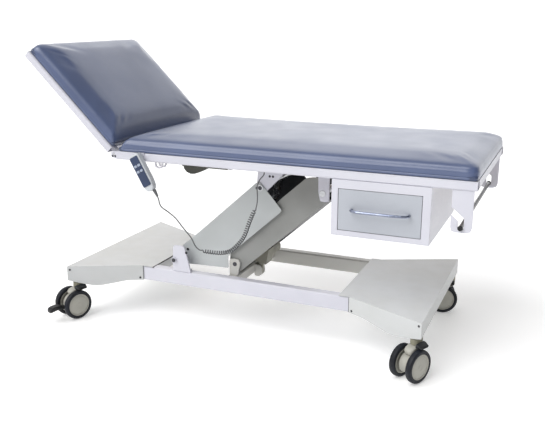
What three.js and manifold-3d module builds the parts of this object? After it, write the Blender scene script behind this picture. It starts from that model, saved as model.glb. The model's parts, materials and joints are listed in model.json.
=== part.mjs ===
// Electric height-adjustable examination table, in millimetres, +Z up, standing on z = 0.
// +X runs from the head end to the foot end. The front, with the drawer and handset, faces -Y.
// Inside the group, X = 0 is near the middle of the base and Y = 0 is the plane of symmetry.
import * as THREE from 'three';
import { mergeVertices } from 'three/addons/utils/BufferGeometryUtils.js';
import Module from 'manifold-3d';

const wasm = await Module();
wasm.setup();

// ---------- driving dimensions ----------

// Puts the origin on the floor, under the middle of the whole outline.
const ORIGIN_SHIFT = { x: -11, y: 29, z: -21 };
const GAP = 0.3;                            // clearance between touching pieces
const DEG = Math.PI / 180;

const LIFT_ANGLE = 41.8 * DEG;              // slope of the lift arms at rest
const BACK_ANGLE = 44.3 * DEG;              // slope of the back section at rest

const base = {
  top: 236, railHeight: 60, railWidth: 40, railWall: 2.5, railOuterY: 229.5,
  headCasterX: -698, footCasterX: 713, casterY: 330, beamWidth: 40, beamHeight: 57, beamHalf: 338,
};
const cover = { sheet: 2, inner: 398, halfWide: 366.5, skirtEnd: 57 };
const crossTube = { x: -56, width: 40, height: 42 };

const arm = { length: 482, spacing: 246, pivotX: -295, pivotZ: 282, sheet: 3, outerY: 187.5, innerY: 172 };
const shaftRadius = 12.5;
const pinRadius = 9;

const top = {
  headX: -461, footX: 881, halfWidth: 357, z: 733, height: 30, railWidth: 40, wall: 2, channel: 3,
};
const back = { hingeX: -470, hingeZ: 722, hingeRadius: 5, start: 24, end: 526, low: -19, high: 11 };
const pad = { side: 353, boardSide: 345, board: 12 };

const cabinet = { x0: 402, x1: 740, y0: -357, y1: 123, z0: 507, wall: 2, frontDeep: 12 };
const opening = { x0: 425, x1: 712, z0: 526, z1: 672 };
const roll = { plateIn: 349, plateOut: 352, rodX: 836, rodZ: 578.9, rodRadius: 7, rodHalf: 356 };
const caster = { wheelRadius: 60, trail: 30, wheelMid: 35, wheelHalf: 12, axleRadius: 6, collarRadius: 22 };
const handset = { x: -366, y: -375, z: 731, tilt: 29 * DEG, length: 150, width: 46, depth: 26 };

// ---------- materials ----------

const paint = (color, roughness = 0.45, metalness = 0) => (
  new THREE.MeshStandardMaterial({ color, roughness, metalness })
);
const WHITE = 0xe2e2ea;
const COVER_GREY = 0xd6d9d9;
const ARM_GREY = 0xb8bbbd;
const DRAWER_GREY = 0xb9bcc2;
const VINYL_BLUE = 0x64779a;
const CHROME = 0xd8dade;
const BLACK = 0x17191b;
const BOARD_TAN = 0xb09068;
const MOTOR_OLIVE = 0x3f413a;
const CONTROL_GREY = 0x3a3d40;
const HANDSET_GREY = 0xc9ccd0;
const KEYPAD_BLUE = 0x3b4660;
const KEY_GREY = 0xb9c2d4;
const CORD_GREY = 0x6f7275;

// ---------- solids ----------

function toSolid(geometry) {
  const bare = geometry.clone();
  bare.deleteAttribute('normal');
  bare.deleteAttribute('uv');
  const merged = mergeVertices(bare, 1e-4);
  return new wasm.Manifold(new wasm.Mesh({
    numProp: 3,
    vertProperties: new Float32Array(merged.attributes.position.array),
    triVerts: new Uint32Array(merged.index.array),
  }));
}

function toGeometry(solid) {
  const mesh = solid.getMesh();
  const geometry = new THREE.BufferGeometry();
  geometry.setAttribute('position', new THREE.BufferAttribute(mesh.vertProperties, 3));
  geometry.setIndex(new THREE.BufferAttribute(mesh.triVerts, 1));
  geometry.computeVertexNormals();
  return geometry;
}

const join = (...parts) => toGeometry(parts.map(toSolid).reduce((a, b) => a.add(b)));
const cut = (body, ...tools) => (
  toGeometry(tools.map(toSolid).reduce((a, b) => a.subtract(b), toSolid(body)))
);

function block(x0, x1, y0, y1, z0, z1) {
  const box = new THREE.BoxGeometry(x1 - x0, y1 - y0, z1 - z0);
  return box.translate((x0 + x1) / 2, (y0 + y1) / 2, (z0 + z1) / 2);
}

// A cylinder lying along Y, from y0 to y1.
function rodY(radius, x, z, y0, y1, sides = 14) {
  return new THREE.CylinderGeometry(radius, radius, y1 - y0, sides).translate(x, (y0 + y1) / 2, z);
}

// An upright cylinder, from z0 to z1.
function rodZ(radius, x, y, z0, z1, sides = 16) {
  const rod = new THREE.CylinderGeometry(radius, radius, z1 - z0, sides).rotateX(Math.PI / 2);
  return rod.translate(x, y, (z0 + z1) / 2);
}

// A closed outline through [x, y, corner radius] points.
function outline(corners) {
  const shape = new THREE.Shape();
  const count = corners.length;
  corners.forEach(([x, y, radius = 0], i) => {
    const corner = new THREE.Vector2(x, y);
    const near = (j) => {
      const side = new THREE.Vector2(corners[j][0], corners[j][1]).sub(corner);
      return side.setLength(Math.min(radius, side.length() / 2.05)).add(corner);
    };
    const before = near((i + count - 1) % count);
    const after = near((i + 1) % count);
    if (i === 0) shape.moveTo(before.x, before.y);
    else shape.lineTo(before.x, before.y);
    if (radius > 0) shape.quadraticCurveTo(x, y, after.x, after.y);
  });
  shape.closePath();
  return shape;
}

function extrude(shape, depth, segments = 2) {
  return new THREE.ExtrudeGeometry(shape, { depth, bevelEnabled: false, curveSegments: segments });
}

// A sheet cut to an outline in the XZ plane, from y0 to y1.
function sheetXZ(corners, y0, y1, segments = 2) {
  return extrude(outline(corners), y1 - y0, segments).rotateX(Math.PI / 2).translate(0, y1, 0);
}

// A sheet cut to an outline in the XY plane, from z0 to z1.
function sheetXY(corners, z0, z1) {
  return extrude(outline(corners), z1 - z0).translate(0, 0, z0);
}

function ringShape(a, b, wall, corner) {
  const rectangle = (w, h, r) => outline([[-w, -h, r], [w, -h, r], [w, h, r], [-w, h, r]]);
  const shape = rectangle(a / 2, b / 2, corner);
  const inner = rectangle(a / 2 - wall, b / 2 - wall, Math.max(corner - wall, 0.5));
  shape.holes.push(inner);
  return shape;
}

// Rectangular tube along X: wide across Y, high across Z, open at both ends.
function tubeX(x0, x1, y, z, wide, high, wall, corner = 4) {
  const turn = new THREE.Matrix4().makeBasis(
    new THREE.Vector3(0, 1, 0), new THREE.Vector3(0, 0, 1), new THREE.Vector3(1, 0, 0),
  );
  const tube = extrude(ringShape(wide, high, wall, corner), x1 - x0, 1);
  return tube.applyMatrix4(turn).translate(x0, y, z);
}

// Rectangular tube along Y: wide across X, high across Z, open at both ends.
function tubeY(y0, y1, x, z, wide, high, wall, corner = 4) {
  const turn = new THREE.Matrix4().makeBasis(
    new THREE.Vector3(0, 0, 1), new THREE.Vector3(1, 0, 0), new THREE.Vector3(0, 1, 0),
  );
  const tube = extrude(ringShape(high, wide, wall, corner), y1 - y0, 1);
  return tube.applyMatrix4(turn).translate(x, y0, z);
}

// An inverted-U channel along Y, its back at z1.
function channelY(x0, x1, y0, y1, z0, z1, wall) {
  return sheetXZ([
    [x0, z0], [x0 + wall, z0], [x0 + wall, z1 - wall], [x1 - wall, z1 - wall],
    [x1 - wall, z0], [x1, z0], [x1, z1], [x0, z1],
  ], y0, y1);
}

// A round cord or bar along a smooth curve through points.
function roundAlong(points, radius, sides, steps) {
  const stops = points.map((p) => new THREE.Vector3(...p));
  const curve = new THREE.CatmullRomCurve3(stops, false, 'centripetal');
  const ring = Array.from({ length: sides }, (_, i) => {
    const angle = 2 * Math.PI * i / sides;
    return new THREE.Vector2(radius * Math.cos(angle), radius * Math.sin(angle));
  });
  const options = { steps, extrudePath: curve, bevelEnabled: false };
  return new THREE.ExtrudeGeometry(new THREE.Shape(ring), options);
}

function group(parent, x = 0, y = 0, z = 0) {
  const made = new THREE.Group();
  made.position.set(x, y, z);
  parent.add(made);
  return made;
}

function add(parent, name, geometry, material) {
  const mesh = new THREE.Mesh(geometry, material);
  mesh.name = name;
  parent.add(mesh);
  return mesh;
}

const SIDES = [['front', -1], ['rear', 1]];
const table = new THREE.Group();
table.position.set(ORIGIN_SHIFT.x, ORIGIN_SHIFT.y, ORIGIN_SHIFT.z);

// Y limits of a piece given for the front side, mirrored for the rear side.
const span = (side, a, b) => (side < 0 ? [-b, -a] : [a, b]);

// ---------- base ----------

const railTop = base.top - GAP;
const railMidY = base.railOuterY - base.railWidth / 2;
const railMidZ = railTop - base.railHeight / 2;
const railEnds = [
  base.headCasterX + base.beamWidth / 2 + GAP,
  base.footCasterX - base.beamWidth / 2 - GAP,
];

function addRails() {
  for (const [name, side] of SIDES) {
    const rail = tubeX(
      ...railEnds, side * railMidY, railMidZ, base.railWidth, base.railHeight, base.railWall, 5,
    );
    add(table, `${name}_rail`, rail, paint(WHITE));
  }
}

// Cross beam over one pair of casters, with the sockets that their stems turn in.
function addCasterBeam(name, x) {
  const beamTop = base.top - GAP;
  const beamLow = beamTop - base.beamHeight;
  const beam = tubeY(
    -base.beamHalf, base.beamHalf, x, (beamTop + beamLow) / 2, base.beamWidth, base.beamHeight, 3,
  );
  add(table, name, beam, paint(ARM_GREY));
}

// Folded sheet cover over one end of the base. It flares outwards and its side skirts dip in a shallow V.
// It is built towards +X, and the head end's is turned half a turn.
function addCover(name, turn, joint, outer) {
  const { sheet, inner, halfWide, skirtEnd } = cover;
  const flushY = base.railOuterY + GAP;
  const lipY = flushY + sheet;
  const edgeY = halfWide + sheet;
  const plate = sheetXY([
    [inner, -lipY], [joint, -lipY], [outer, -edgeY, 6], [outer, edgeY, 6], [joint, lipY], [inner, lipY],
  ], base.top, base.top + sheet);
  const flare = halfWide - flushY;
  const length = Math.hypot(outer - joint, flare);
  const dip = [
    [0, 1], [0, -60], [0.22, -61], [0.55, -81, 50], [0.66, -82, 60], [0.86, -69, 40],
    [1, -skirtEnd], [1, 1],
  ];
  const skirts = SIDES.map(([, side]) => {
    const flat = sheetXZ(dip.map(([share, z, r = 0]) => [share * length, z, r]), ...span(side, 0, sheet));
    return flat.rotateZ(side * Math.atan2(flare, outer - joint)).translate(joint, side * flushY, base.top);
  });
  const end = block(outer - sheet, outer, -halfWide, halfWide, base.top - skirtEnd, base.top + 1);
  const lipHalf = base.railOuterY - base.railWidth - 2;
  const lip = block(inner, inner + sheet, -lipHalf, lipHalf, base.top - 40, base.top + 1);
  add(table, name, join(plate, ...skirts, end, lip).rotateZ(turn), paint(COVER_GREY));
}

// Tube between the rails that carries the foot arms' brackets and the lift motor's hanging fork.
const motorFoot = { x: -18, z: 195, forkHalf: 12, cheek: 6, radius: 15 };

function addCrossTube() {
  const half = base.railOuterY - base.railWidth - GAP;
  const { x, width, height } = crossTube;
  const tube = tubeY(-half, half, x, railTop - height / 2, width, height, 3);
  const face = x + width / 2;
  const cheeks = SIDES.map(([, side]) => sheetXZ([
    [face - 2, railTop - height + 4], [face - 2, railTop - height - 12, 6],
    [motorFoot.x, motorFoot.z - motorFoot.radius, 8], [motorFoot.x + motorFoot.radius, motorFoot.z - 4, 12],
    [motorFoot.x + 10, railTop - 8, 8], [face - 2, railTop - 4],
  ], ...span(side, motorFoot.forkHalf, motorFoot.forkHalf + motorFoot.cheek)));
  const pin = rodY(6, motorFoot.x, motorFoot.z, -motorFoot.forkHalf - 4, motorFoot.forkHalf + 4, 16);
  add(table, 'pivot_cross_tube', join(tube, ...cheeks, pin), paint(WHITE));
}

// Plates on the rails that hold the head arms, each with its pivot pin pointing inwards.
function addUprights() {
  const { pivotX, pivotZ, outerY, sheet } = arm;
  for (const [name, side] of SIDES) {
    const plate = sheetXZ([
      [pivotX - 9, base.top], [pivotX + 72, base.top], [pivotX + 45, pivotZ + 62, 10],
      [pivotX - 5, pivotZ + 62, 12],
    ], ...span(side, base.railOuterY - 8, base.railOuterY));
    const foot = block(pivotX - 9, pivotX + 60, ...span(side, base.railOuterY - 34, base.railOuterY - 4),
      base.top, base.top + 6);
    const pin = rodY(pinRadius, pivotX, pivotZ, ...span(side, outerY - sheet - 5, base.railOuterY));
    const collar = rodY(pinRadius + 5, pivotX, pivotZ, ...span(side, outerY + 1.5, base.railOuterY - 4));
    const head = rodY(11, pivotX, pivotZ, ...span(side, base.railOuterY - 1, base.railOuterY + 7));
    add(table, `${name}_head_arm_upright`, join(plate, foot, pin, collar, head), paint(WHITE));
  }
}

// Brackets on the cross tube that hold the foot arms, each with its pivot pin.
function addFootBrackets() {
  const x = arm.pivotX + arm.spacing;
  const plateIn = arm.innerY + 2;
  const plateOut = arm.outerY - arm.sheet - 2.5;
  for (const [name, side] of SIDES) {
    const plate = sheetXZ([
      [x - 24, base.top], [x + 11, base.top], [x + 22, arm.pivotZ], [x + 20, arm.pivotZ + 22, 20],
      [x - 22, arm.pivotZ + 22, 20], [x - 24, arm.pivotZ],
    ], ...span(side, plateIn, plateOut));
    const pin = rodY(pinRadius, x, arm.pivotZ, ...span(side, arm.innerY - arm.sheet - 6, plateOut));
    add(table, `${name}_foot_arm_bracket`, join(plate, pin), paint(WHITE));
  }
}

// ---------- casters ----------

// The wheels trail along local +X and the axle lies along local Y.
const CASTERS = [
  { name: 'head_front', x: base.headCasterX, side: -1, trail: -111, brake: true },
  { name: 'head_rear', x: base.headCasterX, side: 1, trail: 150, brake: true },
  { name: 'foot_front', x: base.footCasterX, side: -1, trail: -115.5, brake: false },
  { name: 'foot_rear', x: base.footCasterX, side: 1, trail: -162.5, brake: false },
];
const collarTop = base.top - GAP - base.beamHeight - GAP;

function wheelGeometry(y) {
  const { wheelRadius, wheelHalf, axleRadius } = caster;
  const profile = [
    [axleRadius + GAP, -wheelHalf], [wheelRadius - 6, -wheelHalf], [wheelRadius, -wheelHalf + 7],
    [wheelRadius, wheelHalf - 7], [wheelRadius - 6, wheelHalf], [axleRadius + GAP, wheelHalf],
    [axleRadius + GAP, -wheelHalf],
  ];
  const ring = new THREE.LatheGeometry(profile.map(([r, h]) => new THREE.Vector2(r, h)), 24);
  return toGeometry(toSolid(ring.translate(0, y, 0)));
}

function addCaster({ name, x, side, trail, brake }) {
  const here = group(table, x, side * base.casterY, 0);
  here.rotation.z = trail * DEG;
  const { wheelRadius, trail: offset, wheelMid, wheelHalf, axleRadius, collarRadius } = caster;
  const axleZ = wheelRadius - ORIGIN_SHIFT.z;
  const centre = group(here, offset, 0, axleZ);
  const inner = wheelMid - wheelHalf - 1;
  const collar = rodZ(collarRadius, -offset, 0, wheelRadius + 3, collarTop - axleZ);
  const neck = block(-offset - 20, 18, -inner + 3, inner - 3, 20, wheelRadius + 6);
  const hub = rodY(40, 0, 0, -inner, inner, 20);
  const axle = rodY(axleRadius, 0, 0, -wheelMid - wheelHalf, wheelMid + wheelHalf, 10);
  add(centre, `${name}_caster_fork`, join(hub, neck, collar, axle), paint(COVER_GREY, 0.4));
  for (const [face, y] of [['inner', -wheelMid], ['outer', wheelMid]]) {
    add(centre, `${name}_${face}_wheel`, wheelGeometry(y), paint(BLACK, 0.7));
  }
  if (brake) {
    const pedal = sheetXZ([
      [42, -14, 3], [46, -18, 4], [74, -10, 6], [112, 4, 3], [113, 10, 3], [74, 6, 8], [44, 0, 3],
    ], -16, 16);
    add(centre, `${name}_brake_pedal`, pedal, paint(BLACK, 0.6));
  }
}

// ---------- lift arms ----------

const armEndX = arm.pivotX + arm.length * Math.cos(LIFT_ANGLE);
const armEndZ = arm.pivotZ + arm.length * Math.sin(LIFT_ANGLE);

// Upper arm: an inverted U of sheet steel. In its own frame +X runs up the arm from the lower pivot.
function addUpperArm() {
  const { pivotX, pivotZ, length, sheet, outerY } = arm;
  const here = group(table, pivotX, 0, pivotZ);
  here.rotation.y = -LIFT_ANGLE;
  const edge = 25;
  const flange = [
    [38, edge + 3, 10], [120, edge], [length + 13, edge, 14], [length + 13, -120, 10], [186, -121, 6],
    [152, -160, 3], [21, -50, 10], [-16, -22, 14], [-22, 6, 16],
  ];
  const flanges = SIDES.map(([, side]) => sheetXZ(flange, ...span(side, outerY - sheet, outerY)));
  const web = block(60, length - 14, -outerY + 1, outerY - 1, edge - sheet, edge);
  const lowerHole = rodY(pinRadius + GAP, 0, 0, -outerY - 5, outerY + 5);
  const upperHole = rodY(shaftRadius + GAP, length, 0, -outerY - 5, outerY + 5, 16);
  add(here, 'upper_arm', cut(join(...flanges, web), lowerHole, upperHole), paint(ARM_GREY));
}

// Lower arm: a channel that opens upwards, running inside the upper arm's flanges.
function addLowerArm() {
  const { pivotX, pivotZ, spacing, length, sheet, innerY } = arm;
  const here = group(table, pivotX + spacing, 0, pivotZ);
  here.rotation.y = -LIFT_ANGLE;
  const flange = [
    [-20, 14, 12], [-22, -14, 12], [-8, -36, 8], [length + 2, -36, 22], [length + 28, -8, 24],
    [length + 26, 56, 20], [length - 16, 83, 10], [306, 83, 10], [286, 50, 10], [10, 50, 24],
  ];
  const flanges = SIDES.map(([, side]) => sheetXZ(flange, ...span(side, innerY - sheet, innerY)));
  const web = block(176, length - 12, -innerY + 1, innerY - 1, -36, -36 + sheet);
  const lowerHole = rodY(pinRadius + GAP, 0, 0, -innerY - 5, innerY + 5);
  const upperHole = rodY(shaftRadius + GAP, length, 0, -innerY - 5, innerY + 5, 16);
  add(here, 'lower_arm', cut(join(...flanges, web), lowerHole, upperHole), paint(ARM_GREY));
}

// Shafts under the top frame that the arms turn on. The head one carries the lug that the motor lifts.
const lug = { x: -10, z: -44, half: 8 };
const lugPoint = { x: armEndX + lug.x, z: armEndZ + lug.z };

function addShafts() {
  const { outerY, innerY, spacing } = arm;
  const shaft = rodY(shaftRadius, armEndX, armEndZ, -outerY - 4, outerY + 4, 16);
  const hanging = sheetXZ([
    [armEndX - 12, armEndZ + 6, 6], [armEndX + 12, armEndZ + 6, 6],
    [lugPoint.x + 13, lugPoint.z - 4, 8], [lugPoint.x + 6, lugPoint.z - 13, 6],
    [lugPoint.x - 6, lugPoint.z - 13, 6], [lugPoint.x - 13, lugPoint.z - 4, 8],
  ], -lug.half, lug.half);
  add(table, 'head_arm_shaft', join(shaft, hanging), paint(CHROME, 0.3, 0.9));
  const footShaft = rodY(shaftRadius, armEndX + spacing, armEndZ, -innerY - 12, innerY + 12, 16);
  add(table, 'foot_arm_shaft', footShaft, paint(CHROME, 0.3, 0.9));
}

// ---------- lift motor ----------

const motorLength = Math.hypot(lugPoint.x - motorFoot.x, lugPoint.z - motorFoot.z);
const motorAngle = Math.atan2(lugPoint.z - motorFoot.z, lugPoint.x - motorFoot.x);

// A cylinder lying along X, from x0 to x1.
function rodX(radius, x0, x1, z = 0, sides = 16) {
  const rod = new THREE.CylinderGeometry(radius, radius, x1 - x0, sides).rotateZ(Math.PI / 2);
  return rod.translate((x0 + x1) / 2, 0, z);
}

// In its own frame +X runs from the fork on the cross tube to the lug under the top frame.
function addLiftMotor() {
  const here = group(table, motorFoot.x, 0, motorFoot.z);
  here.rotation.y = -motorAngle;
  const tail = block(-9, 56, -motorFoot.forkHalf + 2, motorFoot.forkHalf - 2, -9, 9);
  const gearbox = block(52, 118, -30, 30, -28, 28);
  const motor = rodY(26, 86, 0, 25, 120, 16);
  const tube = rodX(24, 116, 258);
  const eye = rodY(6 + GAP, 0, 0, -20, 20, 16);
  const bore = rodX(13, 66, 300);
  add(here, 'lift_motor_housing', cut(join(tail, gearbox, motor, tube), eye, bore), paint(BLACK, 0.5));

  const forkOut = lug.half + 6;
  const rod = rodX(12.5, 152, motorLength - 18);
  const bridge = block(motorLength - 26, motorLength - 16, -forkOut, forkOut, -10, 10);
  const cheeks = SIDES.map(([, side]) => (
    block(motorLength - 24, motorLength + 8, ...span(side, lug.half + 1, forkOut), -10, 10)
  ));
  // Only the pin's heads are here: the pin stops short of the lug, which leaves the fork's line at the
  // ends of the lift.
  const pinHeads = SIDES.map(([, side]) => (
    rodY(6, motorLength, 0, ...span(side, forkOut - 1, forkOut + 2), 16)
  ));
  add(here, 'lift_motor_rod', join(rod, bridge, ...cheeks, ...pinHeads), paint(CHROME, 0.25, 0.9));
}

// ---------- top frame ----------

const frameLow = top.z - top.height;
const railInnerY = top.halfWidth - top.railWidth;
const railLineY = (top.halfWidth + railInnerY) / 2;
const barHalf = railInnerY + 1.4;
const footPivotX = armEndX + arm.spacing;
const backMotor = { x: -145, z: 637, cheekIn: 12, cheekOut: 18 };
const motorBar = { x0: -190, x1: -90 };

// Plates that hang from the cross channels and hold the shafts of the lift arms.
function armPlates(side) {
  const inside = arm.innerY + 2.5;
  const outside = arm.outerY - arm.sheet - 1.5;
  const high = top.z - 1;
  const z = armEndZ;
  const head = sheetXZ([
    [armEndX - 4, high], [armEndX - 16, z + 24, 20], [armEndX - 15, z - 17, 14], [armEndX + 20, z - 16, 10],
    [armEndX + 88, frameLow - 46, 6], [armEndX + 88, high],
  ], ...span(side, inside, outside));
  const foot = sheetXZ([
    [footPivotX - 18, high], [footPivotX - 16, z + 6, 8], [footPivotX - 8, z - 30, 6],
    [footPivotX + 25, z - 30, 5], [footPivotX + 27, high],
  ], ...span(side, inside, outside));
  return [head, foot];
}

function backMotorCheek(side) {
  const { x, z, cheekIn, cheekOut } = backMotor;
  return sheetXZ([
    [x - 20, top.z - 1], [x - 16, z - 15, 14], [x + 16, z - 15, 14], [x + 20, top.z - 1],
  ], ...span(side, cheekIn, cheekOut));
}

function hingePlate(side) {
  const { hingeX, hingeZ } = back;
  return sheetXZ([
    [hingeX - 13, hingeZ - 13, 8], [top.headX + 6, frameLow + 1], [top.headX + 6, top.z - 1],
    [hingeX - 13, top.z - 1, 8],
  ], ...span(side, 341, 356));
}

// Long side rails with channels between them, and the plates that hang below for the arms and the
// back motor.
function addTopFrame() {
  const rails = SIDES.map(([, side]) => tubeX(
    top.headX, top.footX, side * railLineY, top.z - top.height / 2, top.railWidth, top.height, top.wall,
  ));
  const bars = [
    [-430, -397], [motorBar.x0, motorBar.x1], [armEndX - 26, armEndX + 96],
    [footPivotX - 24, footPivotX + 34], [top.footX - 36, top.footX - 1],
  ].map(([x0, x1]) => channelY(x0, x1, -barHalf, barHalf, frameLow, top.z, top.channel));
  const plates = SIDES.flatMap(([, side]) => [...armPlates(side), backMotorCheek(side), hingePlate(side)]);
  const backPin = rodY(6, backMotor.x, backMotor.z, -backMotor.cheekOut - 2, backMotor.cheekOut + 2, 16);
  const hingeBore = rodY(back.hingeRadius + GAP, back.hingeX, back.hingeZ, -400, 400, 16);
  const bores = [armEndX, footPivotX].map((x) => rodY(shaftRadius + GAP, x, armEndZ, -220, 220, 16));
  const frame = join(...rails, ...bars, ...plates, backPin);
  add(table, 'top_frame', cut(frame, hingeBore, ...bores), paint(WHITE));
}

// ---------- back section ----------

const lever = {
  tilt: 37 * DEG, half: 20, end: 122, slotHalf: 13, slotFrom: 76, slotTo: 116, inner: 12, outer: 18,
};

// Points along the slotted lever, as distances out from the hinge and aside from the lever's centre line.
function leverPoint(reach, aside, radius = 0) {
  const down = { x: Math.sin(lever.tilt), z: -Math.cos(lever.tilt) };
  return [down.x * reach - down.z * aside, down.z * reach + down.x * aside, radius];
}

// In its own frame the hinge is at 0, the section runs towards -X and its pad is on +Z.
function addBackSection() {
  const here = group(table, back.hingeX, 0, back.hingeZ);
  here.rotation.y = BACK_ANGLE;
  const { start, end, low, high, hingeRadius } = back;
  const rails = SIDES.map(([, side]) => (
    tubeX(-end, -start, side * railLineY, (low + high) / 2, top.railWidth, high - low, top.wall)
  ));
  const bars = [[-54, -start], [-end, -490]].map(([x0, x1]) => (
    channelY(x0, x1, -barHalf, barHalf, low, high, top.channel)
  ));
  const ears = SIDES.flatMap(([, side]) => [
    block(-start - 20, 0, ...span(side, 318, 338), -8, 8), rodY(8.4, 0, 0, ...span(side, 318, 338)),
  ]);
  const { half, slotHalf, slotFrom, slotTo } = lever;
  const levers = SIDES.map(([, side]) => sheetXZ([
    [-54, low + 6], [-start, low + 6], leverPoint(66, half, 20), leverPoint(lever.end, half, 16),
    leverPoint(lever.end, -half, 16), leverPoint(60, -half, 20), [-54, low - 14, 8],
  ], ...span(side, lever.inner, lever.outer)));
  const slot = sheetXZ([
    leverPoint(slotFrom, slotHalf, 10), leverPoint(slotTo, slotHalf, 10), leverPoint(slotTo, -slotHalf, 10),
    leverPoint(slotFrom, -slotHalf, 10),
  ], -30, 30);
  const bore = rodY(hingeRadius + GAP, 0, 0, -400, 400, 16);
  add(here, 'back_frame', cut(join(...rails, ...bars, ...ears, ...levers), bore, slot), paint(WHITE));

  const boardLow = high + GAP;
  const boardHigh = boardLow + pad.board;
  const board = block(-520, -32, -pad.boardSide, pad.boardSide, boardLow, boardHigh);
  add(here, 'back_board', board, paint(BOARD_TAN, 0.8));
  const cushion = sheetXZ([
    [-38, boardHigh + GAP], [-50, 45, 20], [-66, 66, 16], [-90, 77, 16], [-505, 77, 16], [-526, 60, 10],
    [-526, 40, 10], [-518, boardHigh + GAP],
  ], -pad.side, pad.side);
  add(here, 'back_cushion', cushion, paint(VINYL_BLUE, 0.4));
}

function addHingeRod() {
  const rod = rodY(back.hingeRadius, back.hingeX, back.hingeZ, -top.halfWidth + 1, top.halfWidth - 1, 16);
  add(table, 'back_hinge_rod', rod, paint(CHROME, 0.3, 0.9));
}

// Motor that raises the back section. Its rod slides along X and its cross pin rides in the levers' slots.
function addBackMotor() {
  const { x, z, cheekIn } = backMotor;
  const drop = back.hingeZ - z;
  const pinX = back.hingeX - drop * Math.tan(BACK_ANGLE - lever.tilt);
  const tail = block(x - 40, x + 9, -cheekIn + 2, cheekIn - 2, z - 9, z + 9);
  const tube = rodX(20, -372, x - 20, z);
  const hump = sheetXZ([
    [-358, 650], [-358, 610, 30], [-325, 589, 40], [-285, 600, 40], [-240, 625, 20], [-240, 650],
  ], -28, 28);
  const eye = rodY(6 + GAP, x, z, -20, 20, 16);
  const bore = rodX(10, -380, x - 32, z);
  add(table, 'back_motor_housing', cut(join(tail, tube, hump), eye, bore), paint(MOTOR_OLIVE, 0.5));
  const rod = rodX(9, pinX, -255, z);
  const rodEye = rodY(13, pinX, z, -lever.inner + 3, lever.inner - 3);
  const crossPin = rodY(6, pinX, z, -lever.outer - 3, lever.outer + 3, 16);
  add(table, 'back_motor_rod', join(rod, rodEye, crossPin), paint(CHROME, 0.25, 0.9));
}

// ---------- main pad ----------

function addMainPad() {
  const boardLow = top.z + GAP;
  const boardHigh = boardLow + pad.board;
  const board = block(-447, 872, -pad.boardSide, pad.boardSide, boardLow, boardHigh);
  add(table, 'main_board', board, paint(BOARD_TAN, 0.8));
  const low = boardHigh + GAP;
  const cushion = sheetXZ([
    [-447, low], [-437, 765, 16], [-415, 797, 14],
    [862, 797, 16], [881, 775, 10], [881, 758, 8], [872, low],
  ], -pad.side, pad.side);
  add(table, 'main_cushion', cushion, paint(VINYL_BLUE, 0.4));
}

// ---------- drawer ----------

function addCabinet() {
  const { x0, x1, y0, y1, z0, wall, frontDeep } = cabinet;
  const z1 = frameLow - GAP;
  const mouth = block(opening.x0, opening.x1, y0 - 5, y0 + frontDeep + 5, opening.z0, opening.z1);
  const hollow = block(x0 + wall, x1 - wall, y0 + frontDeep, y1 - wall, z0 + wall, z1 - wall);
  add(table, 'drawer_cabinet', cut(block(x0, x1, y0, y1, z0, z1), hollow, mouth), paint(WHITE));
}

function addDrawer() {
  const { x0, x1, z0, z1 } = opening;
  const crack = 1.5;
  const faceY = cabinet.y0 + 1;
  const plateY = faceY + 9.7;
  const front = sheetXZ([
    [x0 + crack, z0 + crack, 3], [x1 - crack, z0 + crack, 3],
    [x1 - crack, z1 - crack, 3], [x0 + crack, z1 - crack, 3],
  ], faceY, plateY);
  add(table, 'drawer_front', front, paint(DRAWER_GREY));
  const box = block(x0 + 5, x1 - 5, plateY + GAP, 105, z0 + 6, z1 - 27);
  const inside = block(x0 + 7, x1 - 7, plateY + GAP + 2, 103, z0 + 8, z1);
  add(table, 'drawer_box', cut(box, inside), paint(DRAWER_GREY));

  const bowZ = 602;
  const bowY = faceY - 27;
  const ends = [[475, 475, 486, 512], [671, 671, 660, 634]];
  const rise = [faceY - 2 * GAP, faceY - 13, bowY + 4, bowY];
  const [left, right] = ends.map((xs) => xs.map((x, i) => [x, rise[i], bowZ]));
  const bow = roundAlong([...left, [573, bowY - 1, bowZ], ...right.reverse()], 5, 8, 18);
  add(table, 'drawer_handle', bow, paint(CHROME, 0.12, 1));
}

// ---------- paper roll holder ----------

function addRollHolder() {
  const { plateIn, plateOut, rodX: x, rodZ, rodRadius, rodHalf } = roll;
  const z1 = frameLow - GAP;
  const seat = rodZ - rodRadius - 0.4;
  for (const [name, side] of SIDES) {
    const plate = sheetXZ([
      [803, z1], [803, 645], [x + 9.5, 611, 3], [x + 9.5, seat, 9], [x - 9.5, seat, 9], [x - 9.5, 600, 3],
      [803, 620], [803, 562, 16], [872, 562, 20], [872, z1],
    ], ...span(side, plateIn, plateOut));
    add(table, `${name}_roll_bracket`, plate, paint(WHITE));
  }
  add(table, 'roll_bar', rodY(rodRadius, x, rodZ, -rodHalf, rodHalf), paint(CHROME, 0.15, 1));
}

// ---------- control box, handset and its cord ----------

function addControlBox() {
  const z1 = frameLow - GAP;
  const box = block(motorBar.x0 + 2, motorBar.x1 - 2, 70, 250, z1 - 52.7, z1);
  add(table, 'control_box', box, paint(CONTROL_GREY, 0.6));
}

const key = { wide: 13, high: 9, corner: 3, travel: 1 };
const KEYS = [
  { name: 'back_up_button', x: -9.5, z: -44 }, { name: 'back_down_button', x: 6.5, z: -44 },
  { name: 'lift_up_button', x: -9.5, z: -66 }, { name: 'lift_down_button', x: 6.5, z: -66 },
];

function keyPrism(x, z, grow, y0, y1) {
  const w = key.wide / 2 + grow;
  const h = key.high / 2 + grow;
  const corner = key.corner + grow;
  return sheetXZ([
    [x - w, z - h, corner], [x + w, z - h, corner], [x + w, z + h, corner], [x - w, z + h, corner],
  ], y0, y1);
}

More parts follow.
